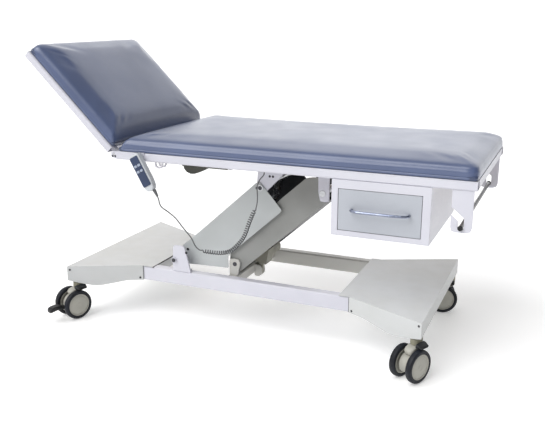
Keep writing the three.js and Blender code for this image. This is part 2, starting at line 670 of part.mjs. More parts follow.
// In its own frame the handset hangs along -Z and its keys face -Y.
function addHandset() {
  const here = group(table, handset.x, handset.y, handset.z);
  here.rotation.y = -handset.tilt;
  const { length, width, depth } = handset;
  const half = width / 2;
  const front = -depth / 2;
  const shell = sheetXZ([
    [-half, 0, 9], [-half, -length + 26, 20], [-half + 8, -length, 12], [half - 8, -length, 12],
    [half, -length + 26, 20], [half, 0, 9],
  ], front, depth / 2);
  add(here, 'handset_body', shell, paint(HANDSET_GREY, 0.5));
  const faceY = front - GAP - 1.6;
  const face = sheetXZ([[-20, -8, 5], [-20, -128, 5], [17, -128, 5], [17, -8, 5]], faceY, front - GAP);
  const wells = KEYS.map(({ x, z }) => keyPrism(x, z, GAP, front - 10, front));
  add(here, 'handset_keypad', cut(face, ...wells), paint(KEYPAD_BLUE, 0.55));
  for (const { name, x, z } of KEYS) {
    add(here, name, keyPrism(x, z, 0, faceY - 1.6, front - GAP - 0.1 - key.travel), paint(KEY_GREY, 0.5));
  }
  const relief = new THREE.CylinderGeometry(7, 4, 28, 14).rotateX(Math.PI / 2);
  relief.translate(8, 0, -length - 14 - GAP);
  add(here, 'handset_strain_relief', relief, paint(CONTROL_GREY, 0.6));
}

// Bent strip that hooks over the front rail and carries the handset on its boss.
function addHandsetHook() {
  const railFace = -top.halfWidth;
  const lipLow = top.z + GAP;
  const strip = block(-352, -335, railFace - 2.6, railFace - 0.6, 700, lipLow + 2);
  const lip = block(-352, -335, railFace - 2.6, railFace + 9.5, lipLow, lipLow + 2);
  const boss = rodY(6, -343.5, 712, railFace - 4.7, railFace - 1);
  add(table, 'handset_hook', join(strip, lip, boss), paint(WHITE));
}

const cord = { radius: 2.5, curlRadius: 7 };
const gland = { x: 104, y: -240, radius: 9, low: 690 };
const STRAIGHT = [
  [-272.3, -375, 578.3], [-269.8, -374.4, 571.5], [-268, -362, 539], [-246, -345, 514],
  [-225, -330, 489], [-208, -310, 451], [-184, -285, 402], [-177, -268, 366], [-164, -262, 350.5],
];
const CURL = [
  [-161, -261.6, 350], [-118, -255, 345], [-73, -250, 346], [-34, -250, 359], [0, -250, 391],
  [25, -250, 426], [42, -250, 471], [58, -248, 512], [72.9, -246.2, 544.4],
];
const RISER = [
  [74, -246, 547], [77, -244, 574], [76, -242, 619], [84, -240, 646], [102, -240, 668], [104, -240, 689.7],
];

function addCord() {
  const socket = rodZ(gland.radius, gland.x, gland.y, gland.low, top.z - top.channel - GAP);
  add(table, 'cord_gland', socket, paint(CONTROL_GREY, 0.6));
  add(table, 'cord_straight', roundAlong(STRAIGHT, cord.radius, 6, 18), paint(CORD_GREY, 0.6));
  add(table, 'cord_curl', roundAlong(CURL, cord.curlRadius, 8, 18), paint(CONTROL_GREY, 0.6));
  add(table, 'cord_riser', roundAlong(RISER, cord.radius, 6, 10), paint(CORD_GREY, 0.6));
}

// ---------- assembly ----------

addRails();
addCasterBeam('head_caster_beam', base.headCasterX);
addCasterBeam('foot_caster_beam', base.footCasterX);
addCover('head_cover', Math.PI, 443, 722);
addCover('foot_cover', 0, 438, 736);
addCrossTube();
addUprights();
addFootBrackets();
CASTERS.forEach(addCaster);
addUpperArm();
addLowerArm();
addShafts();
addLiftMotor();
addTopFrame();
addBackSection();
addHingeRod();
addBackMotor();
addMainPad();
addCabinet();
addDrawer();
addRollHolder();
addControlBox();
addHandset();
addHandsetHook();
addCord();

export default table;
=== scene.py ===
import json
import math

import bmesh
import bpy
from mathutils import Matrix, Vector


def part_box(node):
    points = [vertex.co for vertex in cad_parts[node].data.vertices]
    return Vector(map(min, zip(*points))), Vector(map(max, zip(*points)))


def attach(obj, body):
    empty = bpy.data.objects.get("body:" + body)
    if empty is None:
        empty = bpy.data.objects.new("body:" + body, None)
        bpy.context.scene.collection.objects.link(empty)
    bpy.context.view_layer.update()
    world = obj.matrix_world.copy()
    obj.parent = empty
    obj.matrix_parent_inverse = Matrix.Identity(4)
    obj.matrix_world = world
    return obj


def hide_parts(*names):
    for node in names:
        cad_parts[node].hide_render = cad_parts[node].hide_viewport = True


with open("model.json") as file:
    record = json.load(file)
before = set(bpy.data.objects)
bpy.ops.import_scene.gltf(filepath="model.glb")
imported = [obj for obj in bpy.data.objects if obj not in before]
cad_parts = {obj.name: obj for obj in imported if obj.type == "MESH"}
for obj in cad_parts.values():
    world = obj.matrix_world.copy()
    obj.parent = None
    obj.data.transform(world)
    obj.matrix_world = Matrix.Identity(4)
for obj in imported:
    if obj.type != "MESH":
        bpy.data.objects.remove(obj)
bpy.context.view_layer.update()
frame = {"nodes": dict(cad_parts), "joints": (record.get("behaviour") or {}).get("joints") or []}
NODES = frame["nodes"]
JOINTS = {j["name"]: j for j in frame["joints"]}
CASTERS = ("head_front", "head_rear", "foot_front", "foot_rear")
MM = 0.001
DRAWING_SHIFT = (-11, 29, -21)
MIDDLE_Y = DRAWING_SHIFT[1] * MM

# Places in the CAD drawing, in mm, and angles in degrees.
ARM_RISE = 41.8
BACK_RISE = 44.3
HEAD_PIVOT = (-295, 282)
FOOT_PIVOT = (-49, 282)
TOP_PIVOT = (64.3, 603.3)


def at(x, y, z):
    """A point of the CAD drawing, in mm before it was centred, as a row-frame point in metres."""
    return Vector([value + shift for value, shift in zip((x, y, z), DRAWING_SHIFT)]) * MM


# ---------- camera ----------

CAMERA_PLACE = (1.149, -2.647, 1.217)
CAMERA_RIGHT = (0.9215, 0.3881, 0.0032)
CAMERA_BACK = (0.3739, -0.8895, 0.2629)
SENSOR_WIDTH = 36
LENS = 48.75


def add_camera():
    camera = bpy.data.objects.new("camera", bpy.data.cameras.new("camera"))
    bpy.context.scene.collection.objects.link(camera)
    right = Vector(CAMERA_RIGHT).normalized()
    back = Vector(CAMERA_BACK)
    back = (back - right * back.dot(right)).normalized()
    up = back.cross(right)
    turn = Matrix((right, up, back)).transposed().to_4x4()
    camera.matrix_world = Matrix.Translation(CAMERA_PLACE) @ turn
    camera.data.sensor_width = SENSOR_WIDTH
    camera.data.lens = LENS
    camera.data.clip_end = 60
    bpy.context.scene.camera = camera


# ---------- materials ----------

def srgb(r, g, b):
    """Linear colour from 0-255 sRGB."""
    def channel(c):
        c /= 255
        return c / 12.92 if c <= 0.04045 else ((c + 0.055) / 1.055) ** 2.4
    return (channel(r), channel(g), channel(b), 1)


class Shader:
    """A node material: base colour with variation, roughness variation and bump, on object coordinates."""

    def __init__(self, name, rough, metal=0.0, specular=0.5, coat=0.0, coat_rough=0.1, sheen=0.0):
        self.material = bpy.data.materials.new(name)
        self.material.use_nodes = True
        self.tree = self.material.node_tree
        self.bsdf = self.tree.nodes["Principled BSDF"]
        self.set(self.bsdf, Metallic=metal, Roughness=rough)
        self.set(self.bsdf, **{"Specular IOR Level": specular, "Coat Weight": coat})
        self.set(self.bsdf, **{"Coat Roughness": coat_rough, "Sheen Weight": sheen})
        self.place = self.add("ShaderNodeTexCoord").outputs["Object"]
        self.rough = rough
        self.height = None

    def add(self, kind, **inputs):
        node = self.tree.nodes.new(kind)
        self.set(node, **inputs)
        return node

    def set(self, node, **inputs):
        for key, value in inputs.items():
            if isinstance(value, bpy.types.NodeSocket):
                self.tree.links.new(value, node.inputs[key])
            else:
                node.inputs[key].default_value = value

    def math(self, operation, a, b=0.0, clamp=False):
        node = self.tree.nodes.new("ShaderNodeMath")
        node.operation = operation
        node.use_clamp = clamp
        for socket, value in zip(node.inputs, (a, b)):
            if isinstance(value, bpy.types.NodeSocket):
                self.tree.links.new(value, socket)
            else:
                socket.default_value = value
        return node.outputs[0]

    def stretched(self, scale):
        node = self.add("ShaderNodeMapping", Vector=self.place)
        node.inputs["Scale"].default_value = scale
        return node.outputs[0]

    def noise(self, scale, detail=3.0, stretch=None):
        vector = self.stretched(stretch) if stretch else self.place
        node = self.add("ShaderNodeTexNoise", Vector=vector, Scale=scale, Detail=detail)
        return node.outputs["Fac"]

    def cells(self, scale, feature="DISTANCE_TO_EDGE"):
        node = self.add("ShaderNodeTexVoronoi", Vector=self.place, Scale=scale)
        node.feature = feature
        return node.outputs["Distance"]

    def between(self, value, low, high, to_low=0.0, to_high=1.0):
        node = self.add("ShaderNodeMapRange", Value=value)
        node.clamp = True
        for key, number in (("From Min", low), ("From Max", high), ("To Min", to_low), ("To Max", to_high)):
            node.inputs[key].default_value = number
        return node.outputs[0]

    def mix(self, share, a, b):
        node = self.tree.nodes.new("ShaderNodeMix")
        node.data_type = "RGBA"
        colours = [s for s in node.inputs if s.type == "RGBA"]
        for socket, value in zip([node.inputs[0]] + colours, (share, a, b)):
            if isinstance(value, bpy.types.NodeSocket):
                self.tree.links.new(value, socket)
            else:
                socket.default_value = value
        return [s for s in node.outputs if s.type == "RGBA"][0]

    def bump(self, height, depth, strength=1.0):
        node = self.add("ShaderNodeBump", Height=height, Distance=depth, Strength=strength)
        if self.height is not None:
            self.tree.links.new(self.height, node.inputs["Normal"])
        self.height = node.outputs["Normal"]
        self.tree.links.new(self.height, self.bsdf.inputs["Normal"])

    def roughness(self, value, spread):
        low, high = self.rough - spread, self.rough + spread
        self.set(self.bsdf, Roughness=self.between(value, 0.3, 0.7, low, high))

    def colour(self, socket):
        self.tree.links.new(socket, self.bsdf.inputs["Base Color"])
        return self.material

    def edges(self, amount=0.62):
        """1 on worn outer edges, 0 elsewhere."""
        rounded_off = self.add("ShaderNodeBevel", Radius=0.003)
        rounded_off.samples = 4
        compare = self.tree.nodes.new("ShaderNodeVectorMath")
        compare.operation = "DOT_PRODUCT"
        self.tree.links.new(rounded_off.outputs["Normal"], compare.inputs[0])
        self.tree.links.new(self.add("ShaderNodeNewGeometry").outputs["Normal"], compare.inputs[1])
        sharp = self.between(compare.outputs["Value"], 0.9, 0.99, 1, 0)
        broken = self.noise(60, 4)
        return self.math("MULTIPLY", sharp, self.between(broken, 0.4, amount))

    def facing_up(self):
        normal = self.add("ShaderNodeNewGeometry").outputs["Normal"]
        return self.between(self.add("ShaderNodeSeparateXYZ", Vector=normal).outputs["Z"], 0.5, 0.95)


def painted(name, base, shade, rough=0.38, peel=0.00008, specular=0.45):
    """Powder-coated steel: slight orange peel, cloudy tone, greyer worn edges and dust on top faces."""
    s = Shader(name, rough, specular=specular, coat=0.12, coat_rough=0.3)
    cloud = s.noise(3.5, 4)
    smear = s.noise(26, 3, stretch=(1, 1, 5))
    s.roughness(smear, 0.07)
    s.bump(s.noise(900, 2), peel, 0.14)
    s.bump(s.noise(5, 2), 0.0006, 0.12)
    tone = s.mix(s.between(cloud, 0.32, 0.68), base, shade)
    tone = s.mix(s.math("MULTIPLY", s.edges(), 0.35), tone, srgb(150, 150, 152))
    dust = s.math("MULTIPLY", s.facing_up(), s.between(s.noise(14, 5), 0.45, 0.75, 0, 0.16))
    return s.colour(s.mix(dust, tone, srgb(196, 194, 186)))


def moulded(name, base, shade, rough=0.5, grain=0.00012, scale=700, specular=0.4, wear=0.2):
    """Moulded plastic: fine spark-eroded grain, cloudy tone and paler rubbed edges."""
    s = Shader(name, rough, specular=specular)
    s.roughness(s.noise(30, 3), 0.08)
    s.bump(s.cells(scale, "F1"), grain, 0.5)
    tone = s.mix(s.between(s.noise(9, 4), 0.3, 0.7), base, shade)
    return s.colour(s.mix(s.math("MULTIPLY", s.edges(), wear), tone, srgb(170, 170, 168)))


def rubber(name):
    """Polyurethane tread: near black with a navy tint and a little dust."""
    s = Shader(name, 0.55, specular=0.35)
    s.roughness(s.noise(40, 4), 0.12)
    s.bump(s.noise(420, 4), 0.0002, 0.6)
    tone = s.mix(s.between(s.noise(12, 4), 0.35, 0.7), srgb(13, 16, 24), srgb(26, 30, 40))
    dust = s.between(s.noise(70, 5), 0.55, 0.8, 0, 0.1)
    return s.colour(s.mix(dust, tone, srgb(112, 108, 100)))


def vinyl(name, base, shade, deep):
    """Upholstery vinyl: pebble grain, darker in its creases, and soft unevenness of the foam below."""
    s = Shader(name, 0.34, specular=0.7, coat=0.4, coat_rough=0.3, sheen=0.15)
    s.set(s.bsdf, **{"Sheen Roughness": 0.45})
    s.roughness(s.noise(8, 3), 0.06)
    s.bump(s.noise(9, 3), 0.004, 0.16)
    s.bump(s.cells(620), 0.00035, 0.45)
    s.bump(s.noise(1500, 2), 0.0001, 0.25)
    tone = s.mix(s.between(s.noise(4.5, 5), 0.3, 0.7), base, shade)
    grain = s.between(s.cells(620), 0.0, 0.12, 0.28, 0.0)
    return s.colour(s.mix(grain, tone, deep))


def metal(name, base, shade, rough, stretch, scale=60):
    """Drawn or plated metal: fine lines along the draw, and smudges."""
    s = Shader(name, rough, metal=1.0)
    lines = s.noise(scale, 4, stretch=stretch)
    s.roughness(lines, rough * 0.45)
    s.bump(lines, 0.00006, 0.3)
    return s.colour(s.mix(s.between(s.noise(18, 4), 0.35, 0.7), base, shade))


def plywood(name):
    """Plywood board, bare below; the pad's cover is glued over its top and edges, in dark navy: the vinyl
    darkened with painted shade.
    """
    s = Shader(name, 0.65, specular=0.3)
    rings = s.noise(11, 6, stretch=(1.2, 14, 14))
    s.roughness(rings, 0.1)
    s.bump(s.noise(160, 4, stretch=(1, 12, 12)), 0.0002, 0.5)
    tone = s.mix(s.between(rings, 0.35, 0.65), srgb(196, 164, 120), srgb(160, 124, 82))
    streaks = s.between(s.noise(55, 4, stretch=(1, 20, 20)), 0.5, 0.8, 0, 0.5)
    tone = s.mix(streaks, tone, srgb(112, 82, 52))
    normal = s.add("ShaderNodeTexCoord").outputs["Normal"]
    covered = s.between(s.add("ShaderNodeSeparateXYZ", Vector=normal).outputs["Z"], -0.5, -0.4)
    # The vinyl cover's colour, darkened with painted shade.
    cover = s.mix(s.between(s.noise(20, 3), 0.35, 0.7), srgb(44, 53, 82), srgb(36, 44, 70))
    return s.colour(s.mix(covered, tone, cover))


def arm_paint_shaded_inside(name, base, dim, shaded_half_width=None):
    """Painted channel, near-black painted shade within the given half width of the middle, or else on its
    flanges' inner faces: the arm's shadowed inside.
    """
    s = Shader(name, 0.42, specular=0.4)
    s.roughness(s.noise(24, 3), 0.08)
    s.bump(s.noise(850, 2), 0.00008, 0.35)
    across = s.add("ShaderNodeSeparateXYZ", Vector=s.place).outputs["Y"]
    off_centre = s.math("SUBTRACT", across, MIDDLE_Y)
    if shaded_half_width is None:
        normal = s.add("ShaderNodeTexCoord").outputs["Normal"]
        sideways = s.add("ShaderNodeSeparateXYZ", Vector=normal).outputs["Y"]
        painted_shade_share = s.between(s.math("MULTIPLY", sideways, off_centre), -0.11, -0.1, 1, 0)
    else:
        painted_shade_share = s.between(s.math("ABSOLUTE", off_centre), shaded_half_width, shaded_half_width + 0.0008, 1, 0)
    tone = s.mix(s.between(s.noise(4, 4), 0.35, 0.65), base, dim)
    # Near-black painted shade for the arm's shadowed inside, with a little random tone.
    black = s.mix(s.between(s.noise(20, 4), 0.35, 0.7), srgb(34, 36, 42), srgb(52, 54, 58))
    return s.colour(s.mix(painted_shade_share, tone, black))


def make_materials():
    steel = (1, 1, 12)
    return {
        "frame_white": painted("frame_white_paint", srgb(214, 214, 223), srgb(206, 206, 216)),
        "cover_grey": painted("cover_grey_paint", srgb(206, 208, 209), srgb(197, 199, 198), 0.36),
        # Both arms' paints carry near-black painted shade on their insides.
        "arm_grey": arm_paint_shaded_inside("arm_grey_paint", srgb(190, 194, 195), srgb(178, 182, 182)),
        # The lower arm's paint is the arm paint darkened as painted shade, for the shadow of the top and
        # the upper arm.
        "lower_arm": arm_paint_shaded_inside("lower_arm_paint_shaded", srgb(150, 151, 149), srgb(134, 135, 132), 0.1695),
        "caster_grey": moulded("caster_grey_plastic", srgb(184, 182, 173), srgb(168, 167, 158), 0.42),
        "caster_collar": moulded("caster_collar_plastic", srgb(150, 147, 128), srgb(132, 129, 112), 0.45),
        "tyre_black": rubber("tyre_rubber"),
        "black_plastic": moulded("black_plastic", srgb(26, 27, 30), srgb(38, 40, 43), 0.5),
        "steel_rod": metal("drawn_steel", srgb(205, 206, 208), srgb(178, 180, 184), 0.3, steel),
        "motor_olive": moulded("motor_olive_plastic", srgb(82, 84, 78), srgb(66, 68, 64), 0.48),
        "lift_motor": moulded("lift_motor_plastic", srgb(150, 148, 136), srgb(134, 132, 120), 0.45),
        "drawer_grey": painted("drawer_grey_paint", srgb(184, 188, 196), srgb(175, 179, 187), 0.36),
        "chrome": metal("chrome_plate", srgb(150, 156, 174), srgb(118, 125, 144), 0.16, (1, 1, 1), 40),
        # The frame paint darkened and warmed as painted shade, for parts that lie in shadow.
        "rail_painted_shade": painted("rail_paint_painted_shade", srgb(200, 199, 194), srgb(188, 187, 181), 0.42),
        "bar_steel": metal("bar_steel", srgb(112, 113, 114), srgb(86, 87, 88), 0.32, (1, 14, 1)),
        "control_grey": moulded("control_box_plastic", srgb(66, 68, 71), srgb(54, 56, 58), 0.5),
        "board_tan": plywood("plywood_board"),
        "vinyl_blue": vinyl("vinyl_blue", srgb(84, 99, 137), srgb(76, 90, 126), srgb(44, 54, 86)),
        # The same vinyl darker, as painted shade, for the cover's margin round the boards' edges.
        "vinyl_wrap_shaded": vinyl("vinyl_wrap_shaded", srgb(56, 71, 106), srgb(48, 62, 95), srgb(28, 38, 64)),
        "handset_grey": moulded("handset_plastic", srgb(206, 210, 214), srgb(194, 198, 204), 0.38),
        "keypad_blue": moulded("keypad_foil", srgb(52, 66, 96), srgb(44, 56, 84), 0.34, 0.00005),
        "key_grey": moulded("key_plastic", srgb(168, 178, 196), srgb(154, 164, 184), 0.4, 0.00005),
        "cord_grey": moulded("cord_jacket", srgb(112, 113, 115), srgb(94, 96, 98), 0.45, 0.00006),
        "screw_dark": metal("screw_oxide", srgb(92, 92, 96), srgb(66, 66, 70), 0.42, (1, 1, 1)),
    }


# ---------- mesh helpers ----------

def new_object(name, bm, smooth_angle=32):
    """A mesh object from bm, smooth except along edges sharper than smooth_angle degrees."""
    bmesh.ops.recalc_face_normals(bm, faces=bm.faces)
    limit = math.radians(smooth_angle)
    for face in bm.faces:
        face.smooth = True
    for edge in bm.edges:
        edge.smooth = len(edge.link_faces) == 2 and edge.calc_face_angle() < limit
    mesh = bpy.data.meshes.new(name)
    bm.to_mesh(mesh)
    bm.free()
    obj = bpy.data.objects.new(name, mesh)
    bpy.context.scene.collection.objects.link(obj)
    return obj


def finish_piece(obj, body, material, replaced=()):
    """Material, body and slot of a Blender piece, and the CAD nodes that it stands in for."""
    obj.data.materials.clear()
    obj.data.materials.append(material)
    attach(obj, body)
    if replaced:
        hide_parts(*replaced)
    return obj


def soften(obj, width, angle=35):
    """Small edge radii that catch the light."""
    bevel = obj.modifiers.new("edge_radius", "BEVEL")
    bevel.width = width
    bevel.segments = 2
    bevel.limit_method = "ANGLE"
    bevel.angle_limit = math.radians(angle)
    normals = obj.modifiers.new("face_normals", "WEIGHTED_NORMAL")
    normals.keep_sharp = True


def add_ring(bm, points):
    return [bm.verts.new(p) for p in points]


def skin_rings(bm, rings, closed=False):
    """Quads between neighbouring rings of equal length; closed joins the last ring to the first."""
    pairs = list(zip(rings, rings[1:]))
    if closed:
        pairs.append((rings[-1], rings[0]))
    for a, b in pairs:
        for i in range(len(a)):
            j = (i + 1) % len(a)
            bm.faces.new((a[i], a[j], b[j], b[i]))


def closed_skin(bm, rings):
    """A closed body through the rings, with a face over each end."""
    skin_rings(bm, rings)
    bm.faces.new(list(reversed(rings[0])))
    bm.faces.new(rings[-1])


def lathe(bm, profile, place, steps=56):
    """A body turned about local Z: profile is (radius, height) from axis to axis, or a closed loop."""
    loop = profile[0][0] > 0 and profile[-1][0] > 0
    rings = []
    for radius, height in profile:
        if radius <= 0:
            rings.append([bm.verts.new(place @ Vector((0, 0, height)))])
            continue
        turns = [2 * math.pi * k / steps for k in range(steps)]
        rings.append(add_ring(bm, [
            place @ Vector((radius * math.cos(t), radius * math.sin(t), height)) for t in turns
        ]))
    pairs = list(zip(rings, rings[1:])) + ([(rings[-1], rings[0])] if loop else [])
    for a, b in pairs:
        for i in range(steps):
            j = (i + 1) % steps
            if len(a) == 1:
                bm.faces.new((a[0], b[j], b[i]))
            elif len(b) == 1:
                bm.faces.new((a[i], a[j], b[0]))
            else:
                bm.faces.new((a[i], a[j], b[j], b[i]))


def axis_place(point, axis, up=None):
    """Matrix whose local Z is axis and whose origin is point."""
    z = Vector(axis).normalized()
    side = Vector(up) if up else Vector((0, 0, 1)) if abs(z.z) < 0.9 else Vector((1, 0, 0))
    x = (side - z * side.dot(z)).normalized()
    y = z.cross(x)
    turn = Matrix((x, y, z)).transposed().to_4x4()
    return Matrix.Translation(point) @ turn


def prism(bm, outline, low, high, place):
    """A closed plate: outline in local XY, from low to high along local Z."""
    bottom = add_ring(bm, [place @ Vector((x, y, low)) for x, y in outline])
    top = add_ring(bm, [place @ Vector((x, y, high)) for x, y in outline])
    closed_skin(bm, [bottom, top])


def rounded(width, height, radius, steps=5):
    """Rounded-rectangle outline about the origin."""
    points = []
    for quarter, (sx, sy) in enumerate(((1, 1), (-1, 1), (-1, -1), (1, -1))):
        cx = sx * (width / 2 - radius)
        cy = sy * (height / 2 - radius)
        for k in range(steps + 1):
            turn = math.pi / 2 * (quarter + k / steps)
            points.append((cx + radius * math.cos(turn), cy + radius * math.sin(turn)))
    return points


# ---------- cord ----------

# Wire thickness, mean radius and pitch of the curl in metres; the route in drawing mm.
WIRE = 0.0045
CURL_CENTRE = 0.0064
CURL_PITCH = 0.0095
PER_TURN = 16
CURL_FROM = (-164, -262, 350.5)
CURL_TO = (74, -246, 547)
ROUTE = [
    (-272.3, -375, 578.3), (-269.8, -374.4, 571.5), (-268, -362, 539), (-246, -345, 514),
    (-225, -330, 489), (-208, -310, 451), (-184, -285, 402), (-177, -268, 366), CURL_FROM,
    (-118, -255, 345), (-73, -250, 346), (-34, -250, 359), (0, -250, 391), (25, -250, 426),
    (42, -250, 471), (58, -248, 512), CURL_TO,
    (77, -244, 574), (76, -242, 619), (84, -240, 646), (102, -240, 668), (104, -240, 689.7),
]


def smooth_route(stops, step):
    """Centripetal Catmull-Rom through the stops, at even steps."""
    pts = [at(*p) for p in stops]
    pts = [pts[0] * 2 - pts[1]] + pts + [pts[-1] * 2 - pts[-2]]
    fine = []
    for a, b, c, d in zip(pts, pts[1:], pts[2:], pts[3:]):
        t1 = (b - a).length ** 0.5
        t2 = t1 + (c - b).length ** 0.5
        t3 = t2 + (d - c).length ** 0.5
        for k in range(40):
            t = t1 + (t2 - t1) * k / 40
            a1 = a * ((t1 - t) / t1) + b * (t / t1)
            a2 = b * ((t2 - t) / (t2 - t1)) + c * ((t - t1) / (t2 - t1))
            a3 = c * ((t3 - t) / (t3 - t2)) + d * ((t - t2) / (t3 - t2))
            b1 = a1 * ((t2 - t) / t2) + a2 * (t / t2)
            b2 = a2 * ((t3 - t) / (t3 - t1)) + a3 * ((t - t1) / (t3 - t1))
            fine.append(b1 * ((t2 - t) / (t2 - t1)) + b2 * ((t - t1) / (t2 - t1)))
    fine.append(pts[-2])
    return resample(fine, step)


def resample(points, step):
    run = [0.0]
    for a, b in zip(points, points[1:]):
        run.append(run[-1] + (b - a).length)
    count = max(2, round(run[-1] / step))
    out = []
    k = 0
    for i in range(count + 1):
        goal = run[-1] * i / count
        while k < len(run) - 2 and run[k + 1] < goal:
            k += 1
        share = (goal - run[k]) / max(run[k + 1] - run[k], 1e-9)
        out.append(points[k].lerp(points[k + 1], min(max(share, 0), 1)))
    return out


def curled(line):
    """The cord's line, wound into a helix round its own route from CURL_FROM to CURL_TO."""
    first, last = (
        min(range(len(line)), key=lambda i: (line[i] - at(*stop)).length) for stop in (CURL_FROM, CURL_TO)
    )
    out = []
    turn = 0.0
    side = Vector((0, 1, 0))
    for i, p in enumerate(line):
        ahead = (line[min(i + 1, len(line) - 1)] - line[max(i - 1, 0)]).normalized()
        side = (side - ahead * side.dot(ahead)).normalized()
        up = ahead.cross(side)
        if first < i < last:
            ease = min(1, (i - first) / (3 * PER_TURN), (last - i) / (3 * PER_TURN))
            ease *= ease * (3 - 2 * ease)
            turn += 2 * math.pi / PER_TURN * ease ** 1.5
            out.append(p + (side * math.cos(turn) + up * math.sin(turn)) * CURL_CENTRE * ease)
        elif (i - first) % PER_TURN == 0 or i in (0, len(line) - 1):
            out.append(p)
    return out


def add_cord(materials):
    joined = curled(smooth_route(ROUTE, CURL_PITCH / PER_TURN))
    data = bpy.data.curves.new("handset_cord", "CURVE")
    data.dimensions = "3D"
    data.bevel_depth = WIRE / 2
    data.bevel_resolution = 3
    data.use_fill_caps = True
    spline = data.splines.new("POLY")
    spline.points.add(len(joined) - 1)
    for point, place in zip(spline.points, joined):
        point.co = (*place, 1)
    spline.use_smooth = True
    cord = bpy.data.objects.new("handset_cord", data)
    bpy.context.scene.collection.objects.link(cord)
    data.materials.append(materials["cord_grey"])
    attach(cord, "top")
    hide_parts("cord_straight", "cord_curl", "cord_riser")


# ---------- cushions ----------

# In metres: remesh size, furthest cloth move, cover margin past the board, how far the pad laps over the
# board's edge, height of the part held in the cloth pass, and height that is pressed flat.
VOXEL = 0.008
SWELL_CAP = 0.006
MARGIN = 0.0066
LIP = 0.0095
HELD = 0.006
FLAT = 0.0025
CLOTH_FRAMES = 20


def pad_rings(length, width, section, near_corner, far_corner):
    """Rounded-rectangle loops of a pad, from its underside edge up to the crown."""
    rings = []
    for inset, height in section:
        x0, x1 = inset, length - inset
        half = width / 2 - inset
        ring = []
        corners = (
            (x1, half, far_corner, 0), (x0, half, near_corner, 1),
            (x0, -half, near_corner, 2), (x1, -half, far_corner, 3),
        )
        for x, y, radius, quarter in corners:
            r = min(radius + inset * 0.4, (x1 - x0) / 2, half)
            cx = x - math.copysign(r, x - length / 2)
            cy = y - math.copysign(r, y)
            for k in range(9):
                turn = math.pi / 2 * (quarter + k / 8)
                ring.append(Vector((cx + r * math.cos(turn), cy + r * math.sin(turn), height)))
        rings.append(ring)
    return rings


def pad_body(name, length, width, section, near_corner, far_corner, near_slope):
    """A pad: X from its hinge end, Z up from the board; near_slope caps its height near the hinge."""
    bm = bmesh.new()
    rings = pad_rings(length, width, section, near_corner, far_corner)
    for ring in rings:
        for p in ring:
            p.z = min(p.z, ramp(near_slope, p.x))
    closed_skin(bm, [add_ring(bm, ring) for ring in rings])
    return new_object(name, bm, 180)


def ramp(stops, x):
    """Straight-line value at x between the stops."""
    if x <= stops[0][0]:
        return stops[0][1]
    for (x0, y0), (x1, y1) in zip(stops, stops[1:]):
        if x <= x1:
            return y0 + (y1 - y0) * (x - x0) / (x1 - x0)
    return stops[-1][1]


def only(obj):
    bpy.ops.object.select_all(action="DESELECT")
    obj.select_set(True)
    bpy.context.view_layer.objects.active = obj


def apply_all(obj):
    only(obj)
    for modifier in list(obj.modifiers):
        bpy.ops.object.modifier_apply(modifier=modifier.name)


def stuff(obj, length, width):
    """Cloth pass over the foam shape: the cover swells a little and settles, held along its underside."""
    remesh = obj.modifiers.new("even_faces", "REMESH")
    remesh.mode = "VOXEL"
    remesh.voxel_size = VOXEL
    settle = obj.modifiers.new("even_out", "SMOOTH")
    settle.iterations = 4
    settle.factor = 0.5
    apply_all(obj)
    flatten_base(obj)
    before = [v.co.copy() for v in obj.data.vertices]
    held = obj.vertex_groups.new(name="held")
    held.add([v.index for v in obj.data.vertices if v.co.z < HELD - LIP], 1.0, "REPLACE")
    cloth = obj.modifiers.new("cover", "CLOTH")
    cloth.settings.use_pressure = True
    cloth.settings.uniform_pressure_force = 4
    cloth.settings.effector_weights.gravity = 0
    cloth.settings.vertex_group_mass = "held"
    cloth.settings.quality = 4
    cloth.point_cache.frame_end = CLOTH_FRAMES
    for number in range(1, CLOTH_FRAMES + 1):
        bpy.context.scene.frame_set(number)
    apply_all(obj)
    for vertex, start in zip(obj.data.vertices, before):
        move = vertex.co - start
        if move.length > SWELL_CAP:
            vertex.co = start + move * (SWELL_CAP / move.length)
    bpy.context.scene.frame_set(1)
    smooth = obj.modifiers.new("ease", "SMOOTH")
    smooth.iterations = 4
    smooth.factor = 0.5
    finer = obj.modifiers.new("finer", "SUBSURF")
    finer.levels = 1
    finer.render_levels = 1
    apply_all(obj)
    flatten_base(obj)
    fill_out(obj, length, width)


def flatten_base(obj):
    """The underside lies flat on one level."""
    for vertex in obj.data.vertices:
        if vertex.co.z < FLAT - LIP:
            vertex.co.z = -LIP


def fill_out(obj, length, width):
    """Give back what the even faces took off the plan: the pad's sides end where the board's cover does."""
    low = min(v.co.x for v in obj.data.vertices)
    high = max(v.co.x for v in obj.data.vertices)
    half = max(abs(v.co.y) for v in obj.data.vertices)
    for vertex in obj.data.vertices:
        vertex.co.x = (vertex.co.x - low) / (high - low) * length
        vertex.co.y *= width / 2 / half


def crease(obj, depth, reach, height, width, length):
    """The soft fold where the side panel meets the top, pressed into both long sides and the far end."""
    for vertex in obj.data.vertices:
        co = vertex.co
        edge = min(width / 2 - abs(co.y), length - co.x)
        if edge > 0.03 or co.x < 0.05:
            continue
        near = max(0.0, 1 - abs(co.z - height) / reach)
        fade = min(1.0, (co.x - 0.05) / 0.1)
        push = depth * near * near * (3 - 2 * near) * fade
        if width / 2 - abs(co.y) <= length - co.x:
            co.y -= math.copysign(push, co.y)
        else:
            co.x -= push


GATHER_REACH = 0.13


def pull_creases(obj, corners, depth):
    """Short gathers that run out of the pad's corners, where the cover is pulled round them."""
    for vertex in obj.data.vertices:
        co = vertex.co
        for cx, cy in corners:
            away = math.hypot(co.x - cx, co.y - cy)
            if away < GATHER_REACH and co.z > HELD:
                angle = math.atan2(co.y - cy, co.x - cx)
                fade = (1 - away / GATHER_REACH) * min(1.0, away / 0.02)
                co.z -= depth * fade * (0.5 + 0.5 * math.cos(angle * 17 + cx * 9))


